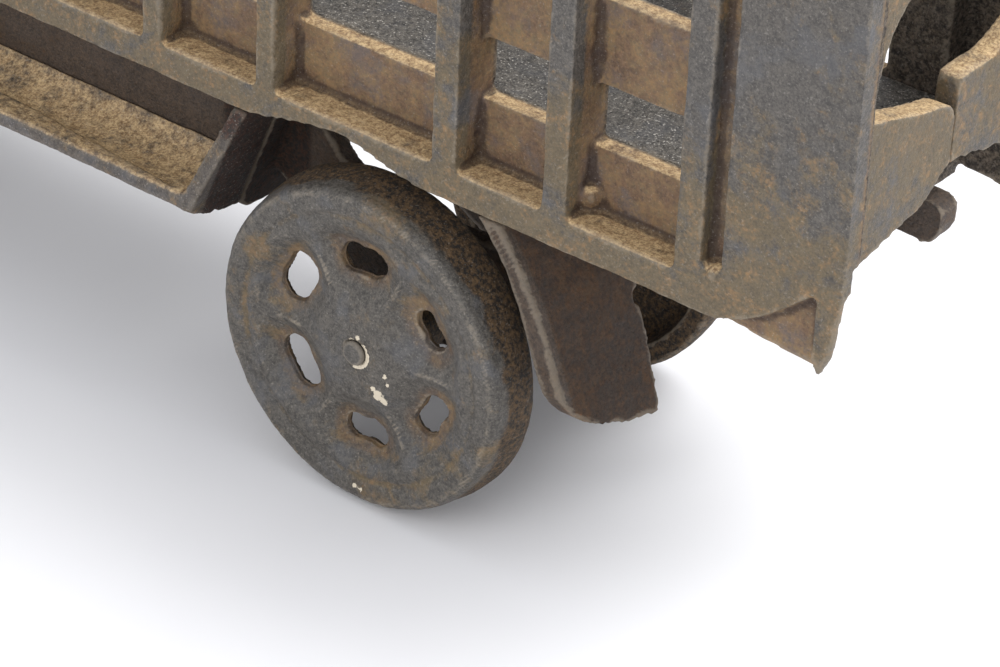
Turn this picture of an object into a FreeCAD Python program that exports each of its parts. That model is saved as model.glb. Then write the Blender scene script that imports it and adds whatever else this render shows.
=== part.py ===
import FreeCAD, Part
import math
import os

os.makedirs("parts", exist_ok=True)

V = FreeCAD.Vector

# Frame: +X towards the tail, +Z up, origin on the ground under the middle of the truck.
# The near side is -Y. Each side piece is drawn for the near side and mirrored.

# ---- driving dimensions, mm ----
LENGTH = 226.0
BODY_W = 48.0
WHEEL_D = 44.0
TAIL_TO_REAR_AXLE = 66.0
WHEELBASE = 124.0

TAIL_X = LENGTH / 2
NOSE_X = -LENGTH / 2
REAR_AXLE_X = TAIL_X - TAIL_TO_REAR_AXLE
FRONT_AXLE_X = REAR_AXLE_X - WHEELBASE
AXLE_Z = WHEEL_D / 2
HALF_W = BODY_W / 2

# bed
BED_FRONT_X = REAR_AXLE_X - 76.0
RELIEF = 4.6
SLAT_T = 2.8
RAIL_Z0 = 47.0
RAIL_Z1 = 51.2
SLATS = [(RAIL_Z0, 59.3), (67.0, 78.0), (86.0, 94.0)]
STAKE_TOP_Z = 97.0
STAKES = [(-74.4, 3.2), (-54.6, 3.2), (-34.3, 3.0), (-16.3, 3.0), (10.9, 3.6), (26.9, 3.5), (45.5, 3.6)]
PANEL_X0 = REAR_AXLE_X + 50.0
PANEL_RELIEF = 1.5
PANEL_IN = 20.9
GROOVE_DEPTH = 2.2
FAR_CORE_Z = 49.2
CORE_DIP = 0.5
CORE_DROP = 1.7
SKIRT_T = 2.0
ARCH = [(-21.0, 46.9), (-17.0, 47.1), (-13.6, 48.0), (-10.6, 48.6), (-7.5, 49.1), (-4.5, 49.3), (-2.2, 49.0),
        (1.0, 48.2), (4.0, 47.5), (7.0, 46.9)]
FLOOR_Z0 = 57.5
FLOOR_Z1 = 59.2
FLOOR_TAIL_X = REAR_AXLE_X + 58.0
HEADBOARD_T = 3.0
LUG_T = 3.6
KNOB_R = 1.7
LUMP_R = 1.5
WALL_IN = HALF_W - RELIEF - SLAT_T

# tail end wall
END_RECESS = 2.5
END_T = 3.2
END_X1 = TAIL_X - END_RECESS
END_X0 = END_X1 - END_T

# underframe
FRAME_OUT = WALL_IN
FRAME_T = 2.4
FRAME_Z0 = 31.8
PLATE_T = 2.4
HANGER_OUT = 12.0
HANGER_T = 2.8
BEARING_R = 5.2
DECK_T = 2.6
DECK_Y = 9.0
GUARD_OUT = 23.4

# running board and front fender
BOARD_OUT = 27.3
BOARD_Z0 = 31.8
LIP_Z = 34.1
DISH_Z = 33.0
DISH_CORNER_R = 2.4
FENDER_R = 25.2
FENDER_T = 2.3

# cab, hood and nose
CAB_X0 = -64.0
CAB_X1 = BED_FRONT_X - 1.0
CAB_OUT = 21.5
CAB_T = 2.6
DOOR_BEAD = 0.7
CAB_TOP_Z = 99.0
HOOD_X0 = -104.0
HOOD_TOP_Z = 76.0
NOSE_TOP_Z = 72.0
SILL_Z = 47.0
RAD_T = 4.5

# wheels and axles
AXLE_R = 1.5
RUNNING = 0.06
WHEEL_FACE_Y = 26.0
WHEEL_W = 7.6
HUB_DEPTH = WHEEL_FACE_Y - HANGER_OUT - 0.6
SLOT_COUNT = 6
SLOT_RING_R = 11.8
SLOT_LEN = 7.4
SLOT_W = 4.4
SLOT_START_DEG = 152.8
HEAD_R = 1.75
HEAD_T = 0.45
HEAD_GAP = 0.1
HUB_SINK = 0.25

# cross pins that hold the castings together
PIN_R = 1.5
PIN_HEAD_R = 2.7
PIN_HEAD_T = 1.1


# ---- helpers ----
def box(x0, x1, y0, y1, z0, z1):
    return Part.makeBox(x1 - x0, y1 - y0, z1 - z0, V(x0, y0, z0))


def wire_face(points):
    return Part.Face(Part.makePolygon(points + [points[0]]))


def plate_xz(points, y0, y1):
    """Plate with its outline in XZ, from y0 to y1."""
    face = wire_face([V(x, y0, z) for x, z in points])
    return face.extrude(V(0, y1 - y0, 0))


def plate_yz(points, x0, x1):
    """Plate with its outline in YZ, from x0 to x1."""
    face = wire_face([V(x0, y, z) for y, z in points])
    return face.extrude(V(x1 - x0, 0, 0))


def rod_y(x, z, r, y0, y1):
    return Part.makeCylinder(r, y1 - y0, V(x, y0, z), V(0, 1, 0))


def fuse(shapes):
    first = shapes[0]
    return first.multiFuse(shapes[1:]).removeSplitter()


def far(shape):
    return shape.mirror(V(0, 0, 0), V(0, 1, 0))


def rounded_outline(points, radius, y, steps=5):
    """XZ outline with each corner replaced by a short arc of the given radius."""
    out = []
    n = len(points)
    for i in range(n):
        px, pz = points[i - 1]
        cx, cz = points[i]
        qx, qz = points[(i + 1) % n]
        to_p = V(px - cx, 0, pz - cz)
        to_q = V(qx - cx, 0, qz - cz)
        reach = min(radius, to_p.Length * 0.45, to_q.Length * 0.45)
        to_p.normalize()
        to_q.normalize()
        a = V(cx, y, cz) + to_p * reach
        b = V(cx, y, cz) + to_q * reach
        c = V(cx, y, cz)
        for s in range(steps + 1):
            t = s / steps
            out.append(a * ((1 - t) ** 2) + c * (2 * t * (1 - t)) + b * (t ** 2))
    return out


def rounded_plate_xz(points, radius, y0, y1):
    face = wire_face(rounded_outline(points, radius, y0))
    return face.extrude(V(0, y1 - y0, 0))


def save(name, shape):
    shape.exportStep("parts/" + name + ".step")


# ---- bed ----
def stake_edges():
    """Left and right X of every stake, front to tail."""
    return [(REAR_AXLE_X + c - w / 2, REAR_AXLE_X + c + w / 2) for c, w in STAKES]


def slat_layer():
    """Recessed slats: one plate pierced between the stakes."""
    y0 = -HALF_W + RELIEF
    plate = box(BED_FRONT_X, PANEL_X0, y0, -WALL_IN, RAIL_Z0, SLATS[-1][1])
    edges = stake_edges()
    cuts = []
    for left, right in zip(edges[:-1], edges[1:]):
        for low, high in zip(SLATS[:-1], SLATS[1:]):
            cuts.append(box(left[1], right[0], y0 - 1, -WALL_IN + 1, low[1], high[0]))
    return plate.cut(fuse(cuts))


def stake(left, right):
    """A raised stake with a rounded top, seen from the side."""
    r = (right - left) / 2
    body = box(left, right, -HALF_W, -WALL_IN, RAIL_Z0, STAKE_TOP_Z - r)
    cap = rod_y(left + r, STAKE_TOP_Z - r, r, -HALF_W, -WALL_IN)
    return body.fuse(cap)


def post_outline(x0):
    """Side view of the corner post, from x0 to the tail, with its low foot."""
    return [(x0, 47.4), (x0 + 0.7, 45.5), (TAIL_X - 2.3, 45.4), (TAIL_X - 1.0, 48.1), (TAIL_X, 56.0),
            (TAIL_X, STAKE_TOP_Z - 3.0), (TAIL_X - 3.0, STAKE_TOP_Z)]


def corner_panel(core_z):
    """Wide plain panel at the tail, its raised skin cut up along the lower edge of the core (core_z)."""
    x = REAR_AXLE_X
    post_x0 = x + 62.6
    core_x1 = TAIL_X - 3.4
    core_outline = [(PANEL_X0, core_z - CORE_DIP), (core_x1, core_z - CORE_DROP), (core_x1, STAKE_TOP_Z),
                    (PANEL_X0, STAKE_TOP_Z)]
    core = plate_xz(core_outline, -HALF_W + PANEL_RELIEF, -PANEL_IN)
    swept = [(PANEL_X0, RAIL_Z0), (x + 53.2, 48.2), (x + 56.0, 49.8), (x + 59.0, 52.2), (post_x0, 55.4)]
    skin = swept + post_outline(post_x0) + [(PANEL_X0, STAKE_TOP_Z)]
    raised = plate_xz(skin, -HALF_W, -HALF_W + PANEL_RELIEF)
    post = plate_xz(post_outline(post_x0) + [(post_x0, STAKE_TOP_Z)], -HALF_W + PANEL_RELIEF, -PANEL_IN)
    foot = box(post_x0, TAIL_X + 1, -HALF_W + SKIRT_T * 0.6, -PANEL_IN + 1, RAIL_Z0 - 3, 56.0)
    return fuse([core, raised, post]).cut(foot).cut(post_undercut())


def groove_strip():
    """Shallow groove between the last stake and the panel; it also joins the slats to the panel."""
    x0 = stake_edges()[-1][1] - 0.5
    return box(x0, PANEL_X0 + 2.0, -HALF_W + GROOVE_DEPTH, -WALL_IN, RAIL_Z0, STAKE_TOP_Z)


def casting_lumps():
    """Knob at the foot of the groove, and a small lump in the corner of the bay ahead of it."""
    x = REAR_AXLE_X
    knob = Part.makeSphere(KNOB_R, V(x + 49.2, -HALF_W + 1.4, 51.8))
    lump = Part.makeSphere(LUMP_R, V(x + 28.9, -HALF_W + RELIEF - 0.3, 52.8))
    return [knob, lump]


def post_undercut():
    """Space under the end face of the corner post, beside the tailboard."""
    return box(END_X1, TAIL_X + 1, -HALF_W + SKIRT_T, 0, 40.0, 59.3)


def tail_post():
    """Inner ear of the corner post, curving out towards its top."""
    outline = [
        (-PANEL_IN - 0.7, 76.0), (-PANEL_IN, 79.0), (-20.6, 81.9), (-19.9, 84.6), (-18.6, 87.0),
        (-16.8, 88.8), (-14.6, 90.4), (-12.4, 92.0), (-11.2, 94.0), (-11.2, STAKE_TOP_Z - 1.5),
        (-12.4, STAKE_TOP_Z), (-PANEL_IN - 0.7, STAKE_TOP_Z),
    ]
    return plate_yz(outline, TAIL_X - 4.6, TAIL_X)


def half_tailboard(top, bottom):
    """Half of the low board across the tail."""
    outline = [(y, z) for y, z in top] + [(y, z) for y, z in reversed(bottom)]
    return plate_yz(outline, END_X0, END_X1)


def bed_side(top, bottom, core_z):
    rail = box(BED_FRONT_X, PANEL_X0, -HALF_W, -WALL_IN, RAIL_Z0, RAIL_Z1)
    edges = stake_edges()
    stakes = [stake(left, right) for left, right in edges]
    tail = [corner_panel(core_z), groove_strip(), tail_post(), half_tailboard(top, bottom)]
    body = fuse([slat_layer(), rail] + stakes + tail + casting_lumps())
    arch = plate_xz([(REAR_AXLE_X + a, z) for a, z in ARCH], -HALF_W - 1, -WALL_IN + 1)
    return body.cut(arch).cut(cross_pin_holes())


# Y and Z along the upper and lower edge of each half of the tailboard, from the side wall to the seam
NEAR_TOP = [(-21.4, 75.4), (-16.0, 73.9), (-12.0, 72.8), (-7.9, 71.5), (-4.8, 70.8), (-2.7, 70.4),
            (-1.2, 69.8), (-0.5, 69.2), (0.0, 68.4)]
NEAR_BOTTOM = [(-21.4, 55.2), (-16.2, 56.5), (-10.5, 57.7), (-6.0, 58.3), (-4.3, 59.1), (-2.6, 60.3),
               (-1.1, 61.4), (0.0, 61.9)]
FAR_TOP = [(-21.4, 79.5), (-16.0, 76.8), (-12.4, 75.0), (-10.7, 74.1), (-8.8, 73.4), (-7.6, 72.9),
           (-4.9, 72.8), (-1.9, 72.8), (-0.4, 72.5), (0.0, 71.9)]
FAR_BOTTOM = [(-21.4, 57.0), (-16.0, 58.6), (-10.3, 60.0), (-6.9, 60.5), (-4.0, 61.3), (-1.5, 61.8),
              (0.0, 61.9)]


def bed_floor():
    plate = box(BED_FRONT_X + HEADBOARD_T, PANEL_X0 + 2.0, -WALL_IN, WALL_IN, FLOOR_Z0, FLOOR_Z1)
    wide = box(PANEL_X0 + 2.0, FLOOR_TAIL_X, -PANEL_IN, PANEL_IN, FLOOR_Z0, FLOOR_Z1)
    return plate.fuse(wide).removeSplitter()


def headboard():
    """Front wall of the bed, with an arched top."""
    steps = 12
    rise = 4.0
    crown = []
    for i in range(steps + 1):
        y = WALL_IN - 2 * WALL_IN * i / steps
        crown.append((y, 92.0 + rise * math.cos(math.pi * y / (2 * WALL_IN))))
    outline = [(-WALL_IN, FLOOR_Z0), (WALL_IN, FLOOR_Z0)] + crown
    return plate_yz(outline, BED_FRONT_X, BED_FRONT_X + HEADBOARD_T)


def tail_lug():
    x = REAR_AXLE_X
    outline = [
        (x + 50.0, FLOOR_Z0), (x + 50.0, 55.4), (x + 57.0, 52.2), (x + 62.8, 51.8), (x + 64.2, 53.8),
        (x + 64.2, 56.8), (x + 62.4, FLOOR_Z0),
    ]
    return rounded_plate_xz(outline, 1.8, -LUG_T / 2, LUG_T / 2)


def headed_pin(x, z, y_end):
    """Pin across the truck with a peened head at each end."""
    shank = rod_y(x, z, PIN_R, -y_end, y_end)
    heads = []
    for side in (-1, 1):
        cone = Part.makeCone(PIN_HEAD_R, PIN_HEAD_R * 0.55, PIN_HEAD_T, V(x, side * y_end, z), V(0, side, 0))
        heads.append(cone)
    return fuse([shank] + heads)


# x, z and half-length under the heads
CROSS_PINS = [
    (BED_FRONT_X + 9.0, 49.1, HALF_W),
    (-40.0, 42.0, CAB_OUT + DOOR_BEAD),
    (-88.0, 62.0, 15.75),
]


def cross_pin_holes():
    return fuse([rod_y(x, z, PIN_R, -40, 40) for x, z, end in CROSS_PINS])


def cross_pins():
    return Part.makeCompound([headed_pin(x, z, end) for x, z, end in CROSS_PINS])


# ---- underframe ----
def rear_hanger():
    """Sagging plate slung between bulkhead and mudguard, with the bearing at its lowest part."""
    x = REAR_AXLE_X
    top = [(-23.2, 45.0), (-18.5, 42.0), (-15.5, 39.2), (-14.2, 37.6), (-12.5, 36.2), (-10.6, 35.8),
           (-4.0, 34.9), (1.0, 34.3), (4.6, 34.3), (8.4, 34.6), (14.0, 36.0), (22.0, 37.6)]
    bottom = [(26.0, 31.5), (20.0, 27.0), (12.0, 22.4), (4.6, 17.6), (-4.6, 17.6), (-13.0, 22.0),
              (-20.0, 28.0), (-26.0, 33.0)]
    plate = plate_xz([(x + a, z) for a, z in top + bottom], -HANGER_OUT, -HANGER_OUT + HANGER_T)
    return plate.fuse(rod_y(x, AXLE_Z, BEARING_R, -HANGER_OUT, -HANGER_OUT + HANGER_T))


def front_hanger():
    """Pendant plate under the chassis plate, with a rounded bearing end."""
    x = FRONT_AXLE_X
    y0 = -HANGER_OUT
    y1 = y0 + HANGER_T
    top_z = SILL_Z - PLATE_T
    strap_outline = [(x - 9.0, top_z), (x + 9.0, top_z), (x + BEARING_R, AXLE_Z), (x - BEARING_R, AXLE_Z)]
    strap = plate_xz(strap_outline, y0, y1)
    boss = rod_y(x, AXLE_Z, BEARING_R, y0, y1)
    shelf = box(x - 9.0, x + 9.0, -FRAME_OUT + FRAME_T, y1, top_z - DECK_T, top_z)
    return fuse([strap, boss, shelf])


def mudguard(lower_edge):
    """Plate behind the rear wheel; lower_edge is Y and Z inwards along its foot and up its inner edge."""
    x = REAR_AXLE_X
    front = [(12.6, 54.9), (14.9, 47.0), (17.4, 44.0), (20.0, 40.5), (22.0, 36.6), (23.6, 32.4), (25.2, 28.4),
             (26.8, 24.6), (28.4, 21.0), (29.4, 18.0)]
    rear = [(32.9, 18.0), (31.9, 21.0), (30.2, 25.0), (28.2, 29.4), (26.7, 33.4), (25.0, 37.0), (22.6, 41.2),
            (20.1, 44.8), (17.8, 47.6), (15.8, 54.9)]
    outline = [(x + a, z) for a, z in front + rear]
    inner_y = lower_edge[-1][0]
    plate = plate_xz(outline, -GUARD_OUT, inner_y)
    side = [(inner_y, 54.9), (-WALL_IN, 54.9), (-WALL_IN, 46.4), (-GUARD_OUT, 46.4)]
    return plate.common(plate_yz(lower_edge + side, x, x + 40))


NEAR_GUARD_EDGE = [(-GUARD_OUT, 26.7), (-22.9, 25.4), (-22.0, 24.1), (-20.6, 23.0), (-18.4, 21.9),
                   (-13.5, 20.1), (-9.5, 19.3), (-8.1, 19.1), (-7.5, 19.7), (-6.9, 23.8), (-6.1, 28.2), (-5.9, 31.0),
                   (-6.9, 31.4), (-6.9, 32.8), (-5.7, 33.2)]
FAR_GUARD_EDGE = [(-GUARD_OUT, 27.6), (-22.0, 26.2), (-18.4, 25.4), (-8.6, 24.2), (-7.3, 25.1)]


def bulkhead_outline(foot_z):
    """Leaning plate seen from the side, down to foot_z."""
    x = REAR_AXLE_X
    drop = (27.8 - foot_z) * 0.36
    return [(x - 19.2, 46.6), (x - 25.4, 31.0), (x - 26.4, 27.8), (x - 26.4 - drop, foot_z),
            (x - 28.6 - drop, foot_z), (x - 28.6, 27.8), (x - 27.8, 31.0), (x - 21.6, 46.6)]


def inner_bulkhead(lower_edge):
    """Bulkhead ahead of the wheel, inside the frame side; lower_edge is Y and Z from the frame inwards."""
    plate = plate_xz(bulkhead_outline(24.0), -FRAME_OUT, 0.0)
    inner_y = lower_edge[-1][0]
    keep = plate_yz([(-FRAME_OUT, 50.0)] + lower_edge + [(inner_y, 50.0)], REAR_AXLE_X - 40, REAR_AXLE_X)
    return plate.common(keep)


NEAR_BULKHEAD_EDGE = [(-FRAME_OUT, 28.2), (-14.8, 26.7), (-10.0, 26.2), (0.0, 25.5)]
FAR_BULKHEAD_EDGE = [(-FRAME_OUT, 28.7), (-9.5, 28.3), (-8.0, 30.0)]


def underframe(guard_edge, bulkhead_edge):
    x = REAR_AXLE_X
    web_end = x - 21.4
    web_foot = x - 27.6
    deck = box(CAB_X1, x + 15.0, -FRAME_OUT, -DECK_Y, FLOOR_Z0 - DECK_T, FLOOR_Z0)
    web = plate_xz(
        [(HOOD_X0, FRAME_Z0), (web_foot, FRAME_Z0), (web_end, 46.6), (web_end, FLOOR_Z0),
         (CAB_X1, FLOOR_Z0), (CAB_X1, SILL_Z), (HOOD_X0, SILL_Z)],
        -FRAME_OUT, -FRAME_OUT + FRAME_T)
    plates = [mudguard(guard_edge), inner_bulkhead(bulkhead_edge)]
    body = fuse([deck, web, rear_hanger(), front_hanger()] + plates)
    bores = [rod_y(ax, AXLE_Z, AXLE_R + RUNNING, -40, 0) for ax in (x, FRONT_AXLE_X)]
    return body.cut(fuse(bores)).cut(cross_pin_holes())


def chassis_plate():
    """Flat plate that ties the two frame sides under the cab and hood."""
    half = FRAME_OUT - FRAME_T
    return box(HOOD_X0, CAB_X1 - 4.0, -half, half, SILL_Z - PLATE_T, SILL_Z)


def running_board():
    """Board with a long dish in its top, narrower towards the front, and a cove up to the frame side."""
    x0 = FRONT_AXLE_X + 20.0
    x1 = REAR_AXLE_X - 26.0
    block = plate_yz(
        [(-BOARD_OUT, BOARD_Z0), (-FRAME_OUT, BOARD_Z0), (-FRAME_OUT, LIP_Z), (-BOARD_OUT + 0.4, LIP_Z),
         (-BOARD_OUT, LIP_Z - 0.5)],
        x0, x1)
    plan = [(x1 - 1.6, -FRAME_OUT - 0.2), (x1 - 1.6, -26.2), (x1 - 28.0, -23.6), (x0 + 10.0, -22.2),
            (x0 + 10.0, -FRAME_OUT - 0.2)]
    flat = rounded_outline(plan, DISH_CORNER_R, 0.0)
    dish = wire_face([V(p.x, p.z, DISH_Z) for p in flat]).extrude(V(0, 0, 10))
    cove = plate_yz(
        [(-FRAME_OUT, BOARD_Z0), (-FRAME_OUT, 36.4), (-FRAME_OUT - 0.7, 35.3), (-FRAME_OUT - 1.9, 34.3),
         (-FRAME_OUT - 3.6, 33.5), (-FRAME_OUT - 5.6, DISH_Z), (-FRAME_OUT - 5.6, BOARD_Z0)],
        x0, x1)
    return fuse([block.cut(dish), cove])


def outer_bulkhead():
    """Outer part of the bulkhead; its edge leans in to pass under the rail."""
    plate = plate_xz(bulkhead_outline(27.8), -BOARD_OUT, -FRAME_OUT)
    keep = plate_yz(
        [(-HALF_W + 0.4, 46.6), (-BOARD_OUT + 0.4, 34.6), (-BOARD_OUT, 33.2), (-BOARD_OUT, 32.4),
         (-BOARD_OUT + 0.6, 31.5), (-22.4, 29.3), (-21.6, 29.6), (-20.6, 28.9), (-FRAME_OUT, 28.2),
         (-FRAME_OUT, 46.6)],
        REAR_AXLE_X - 40, REAR_AXLE_X)
    return plate.common(keep)


def front_fender():
    """Arched fender over the front wheel, ending in a short lip ahead of it."""
    r0 = FENDER_R
    r1 = FENDER_R + FENDER_T
    cx = FRONT_AXLE_X
    opening = rod_y(cx, AXLE_Z, r0, -BOARD_OUT - 1, -FRAME_OUT + 1)
    ring = rod_y(cx, AXLE_Z, r1, -BOARD_OUT, -FRAME_OUT).cut(opening)
    zone = plate_xz(
        [(cx + 40, BOARD_Z0), (cx, BOARD_Z0), (cx - 40, BOARD_Z0 - 4.0), (cx - 40, 60), (cx + 40, 60)],
        -BOARD_OUT, -FRAME_OUT)
    return ring.common(zone)


def fender_board():
    opening = rod_y(FRONT_AXLE_X, AXLE_Z, FENDER_R, -BOARD_OUT - 1, -FRAME_OUT + 1)
    board = running_board().cut(opening)
    return fuse([board, outer_bulkhead(), front_fender()])


# ---- cab and hood ----
def cab_half():
    inner = CAB_OUT - CAB_T
    outline = [
        (CAB_X0, BOARD_Z0), (CAB_X1, BOARD_Z0), (CAB_X1, CAB_TOP_Z - 4.0), (CAB_X1 - 1.6, CAB_TOP_Z - 1.0),
        (CAB_X0 + 4.6, CAB_TOP_Z - 1.0), (CAB_X0 + 1.4, CAB_TOP_Z - 5.0),
    ]
    side = plate_xz(outline, -CAB_OUT, -inner)
    window = rounded_plate_xz(
        [(CAB_X0 + 7.0, 71.0), (CAB_X1 - 6.0, 71.0), (CAB_X1 - 6.0, 90.0), (CAB_X0 + 9.0, 90.0)],
        2.4, -CAB_OUT - 1, -inner + 1)
    door = rounded_plate_xz(
        [(CAB_X0 + 5.0, 37.5), (CAB_X1 - 4.5, 37.5), (CAB_X1 - 4.5, 68.5), (CAB_X0 + 5.0, 68.5)],
        1.5, -CAB_OUT - DOOR_BEAD, -CAB_OUT)
    top = CAB_TOP_Z
    roof_outline = [(-CAB_OUT - 1.0, top - 3.4), (-CAB_OUT - 1.0, top - 1.6), (-CAB_OUT + 1.2, top + 0.6),
                    (-12.0, top + 2.0), (0.0, top + 2.4), (0.0, top - 1.0), (-inner, top - 3.4)]
    roof = plate_yz(roof_outline, CAB_X0 - 2.5, CAB_X1)
    back = box(CAB_X1 - CAB_T, CAB_X1, -inner, 0, SILL_Z, CAB_TOP_Z - 2.0)
    back_window = box(CAB_X1 - CAB_T - 1, CAB_X1 + 1, -8.0, 1.0, 76.0, 88.0)
    dash = box(CAB_X0, CAB_X0 + CAB_T, -inner, 0, SILL_Z, 71.0)
    pillar = box(CAB_X0 + 1.4, CAB_X0 + 4.6, -CAB_OUT + 1.2, -CAB_OUT + 4.4, 70.0, CAB_TOP_Z - 2.0)
    header = box(CAB_X0 + 1.4, CAB_X0 + 4.6, -inner, 0, 91.0, CAB_TOP_Z - 2.0)
    body = fuse([side, roof, back, dash, pillar, header, door])
    body = body.cut(window).cut(back_window)
    body = body.cut(running_board())
    body = body.cut(fender_arch_tool())
    return body.cut(cross_pin_holes())


def fender_arch_tool():
    """Space kept by the front fender and wheel."""
    return rod_y(FRONT_AXLE_X, AXLE_Z, FENDER_R + FENDER_T, -BOARD_OUT - 2, -FRAME_OUT)


def hood_half():
    """Half of the hood, tapering forwards, with raised louvres on its side."""
    t = 2.4
    y_rear = 16.6
    y_front = 14.4
    zr = HOOD_TOP_Z
    zf = NOSE_TOP_Z

    def section(x, w, top, inset):
        pts = [(-w + inset, SILL_Z), (-w + inset, top - 7.0),
               (-w + 1.6 + inset * 0.6, top - 2.4 - inset * 0.6), (-w + 6.0 + inset * 0.2, top - inset * 0.9),
               (0, top + 0.6 - inset), (0, SILL_Z)]
        return Part.makePolygon([V(x, y, z) for y, z in pts + [pts[0]]])

    outer = Part.makeLoft([section(HOOD_X0, y_front, zf, 0), section(CAB_X0, y_rear, zr, 0)], True, True)
    inner_ends = [section(HOOD_X0 - 1, y_front, zf, t), section(CAB_X0 + 1, y_rear, zr, t)]
    inner = Part.makeLoft(inner_ends, True, True)
    shell = outer.cut(inner)
    louvres = []
    for i in range(7):
        x = CAB_X0 - 9.0 - 3.4 * i
        f = (CAB_X0 - x) / (CAB_X0 - HOOD_X0)
        y = y_rear + (y_front - y_rear) * f
        louvres.append(box(x - 0.8, x + 0.8, -y - 0.55, -y + 0.8, 53.0, 65.0))
    keep_pin = rod_y(CROSS_PINS[2][0], CROSS_PINS[2][1], PIN_HEAD_R + 0.8, -20, -y_front - 0.2)
    bars = fuse(louvres).cut(keep_pin)
    return fuse([shell, bars]).cut(cross_pin_holes())


def radiator():
    x0 = HOOD_X0 - RAD_T
    half = 14.8
    outline = [(-half, 40.0), (half, 40.0), (half, NOSE_TOP_Z - 6.0), (half - 2.4, NOSE_TOP_Z - 1.6),
               (half - 7.0, NOSE_TOP_Z + 1.2), (0, NOSE_TOP_Z + 2.0), (-half + 7.0, NOSE_TOP_Z + 1.2),
               (-half + 2.4, NOSE_TOP_Z - 1.6), (-half, NOSE_TOP_Z - 6.0)]
    shell = plate_yz(outline, x0, HOOD_X0)
    recess = [(y * 0.8, 43.0 + (z - 40.0) * 0.84) for y, z in outline]
    core = shell.cut(plate_yz(recess, x0 - 1, x0 + 1.8))
    bars = []
    for i in range(9):
        y = -9.6 + 2.4 * i
        bars.append(box(x0 + 0.9, x0 + 2.2, y - 0.45, y + 0.45, 43.0, 67.0))
    cap = Part.makeCylinder(2.4, 3.0, V(HOOD_X0 - RAD_T / 2, 0, NOSE_TOP_Z + 1.4))
    return fuse([core, cap] + bars)


def headlamps():
    lamps = []
    for side in (-1, 1):
        y = side * 20.6
        x = HOOD_X0 + 1.0
        bowl = Part.makeCone(4.6, 2.4, 6.5, V(x, y, 61.0), V(1, 0, 0))
        rim = Part.makeCylinder(5.0, 1.6, V(x - 1.6, y, 61.0), V(1, 0, 0))
        lens = Part.makeSphere(8.0, V(x + 4.6, y, 61.0)).common(
            Part.makeCylinder(4.2, 4.0, V(x - 3.4, y, 61.0), V(1, 0, 0)))
        reach = sorted((side * 14.9, y))
        arm = box(x + 1.2, x + 4.0, reach[0], reach[1], 59.8, 62.2)
        lamps.append(fuse([bowl, rim, lens, arm]))
    return Part.makeCompound(lamps)


def front_bumper():
    outline = [(-26.0, 29.0), (26.0, 29.0), (26.0, 35.6), (-26.0, 35.6)]
    bar = rounded_plate_yz(outline, 2.6, NOSE_X, NOSE_X + 2.6)
    arms = []
    for side in (-1, 1):
        lo, hi = sorted((side * FRAME_OUT, side * (FRAME_OUT - FRAME_T)))
        arms.append(box(NOSE_X + 2.6, HOOD_X0, lo, hi, FRAME_Z0, FRAME_Z0 + 3.4))
    return fuse([bar] + arms)


def rounded_plate_yz(points, radius, x0, x1):
    flat = rounded_outline(points, radius, 0.0)
    face = wire_face([V(x0, p.x, p.z) for p in flat])
    return face.extrude(V(x1 - x0, 0, 0))


# ---- wheels ----
def wheel_section():
    """Radius and depth from the outer face, going round the half section."""
    bore = AXLE_R + RUNNING
    r = WHEEL_D / 2
    front = [(bore, HUB_SINK), (5.4, 0.3), (7.6, 0.8), (14.6, 1.0), (15.6, 0.55), (17.0, 0.45), (17.4, 0.85),
             (18.1, 0.85), (18.5, 0.35), (20.3, 0.15), (20.9, 0.45), (21.3, 1.1), (r, 5.0)]
    back = [(r, WHEEL_W - 0.6), (r - 0.5, WHEEL_W), (19.0, WHEEL_W), (18.5, 4.2), (17.8, 3.6), (6.4, 3.6),
            (5.4, 4.4), (4.4, HUB_DEPTH), (bore, HUB_DEPTH)]
    return front + back


def slot_tool():
    """Rounded slot, long side along the ring, cut right through the web."""
    half = (SLOT_LEN - SLOT_W) / 2
    bar = box(-half, half, -2, 12, -SLOT_W / 2, SLOT_W / 2)
    ends = [rod_y(s * half, 0, SLOT_W / 2, -2, 12) for s in (-1, 1)]
    return fuse([bar] + ends)


def wheel(axle_x):
    face = wire_face([V(r, d, 0) for r, d in wheel_section()])
    disc = face.revolve(V(0, 0, 0), V(0, 1, 0), 360)
    slots = []
    for i in range(SLOT_COUNT):
        angle = SLOT_START_DEG - i * 360.0 / SLOT_COUNT
        tool = slot_tool()
        tool.translate(V(0, 0, SLOT_RING_R))
        tool.rotate(V(0, 0, 0), V(0, 1, 0), 90.0 - angle)
        slots.append(tool)
    disc = disc.cut(fuse(slots))
    disc.translate(V(axle_x, -WHEEL_FACE_Y, AXLE_Z))
    return disc


def axle(axle_x):
    """Rod across the truck with a peened head outside each wheel."""
    reach = WHEEL_FACE_Y - HUB_SINK + HEAD_GAP
    rod = rod_y(axle_x, AXLE_Z, AXLE_R, -reach, reach)
    heads = []
    for side in (-1, 1):
        foot = V(axle_x, side * reach, AXLE_Z)
        heads.append(Part.makeCone(HEAD_R, HEAD_R * 0.8, HEAD_T, foot, V(0, side, 0)))
    return fuse([rod] + heads)


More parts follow.
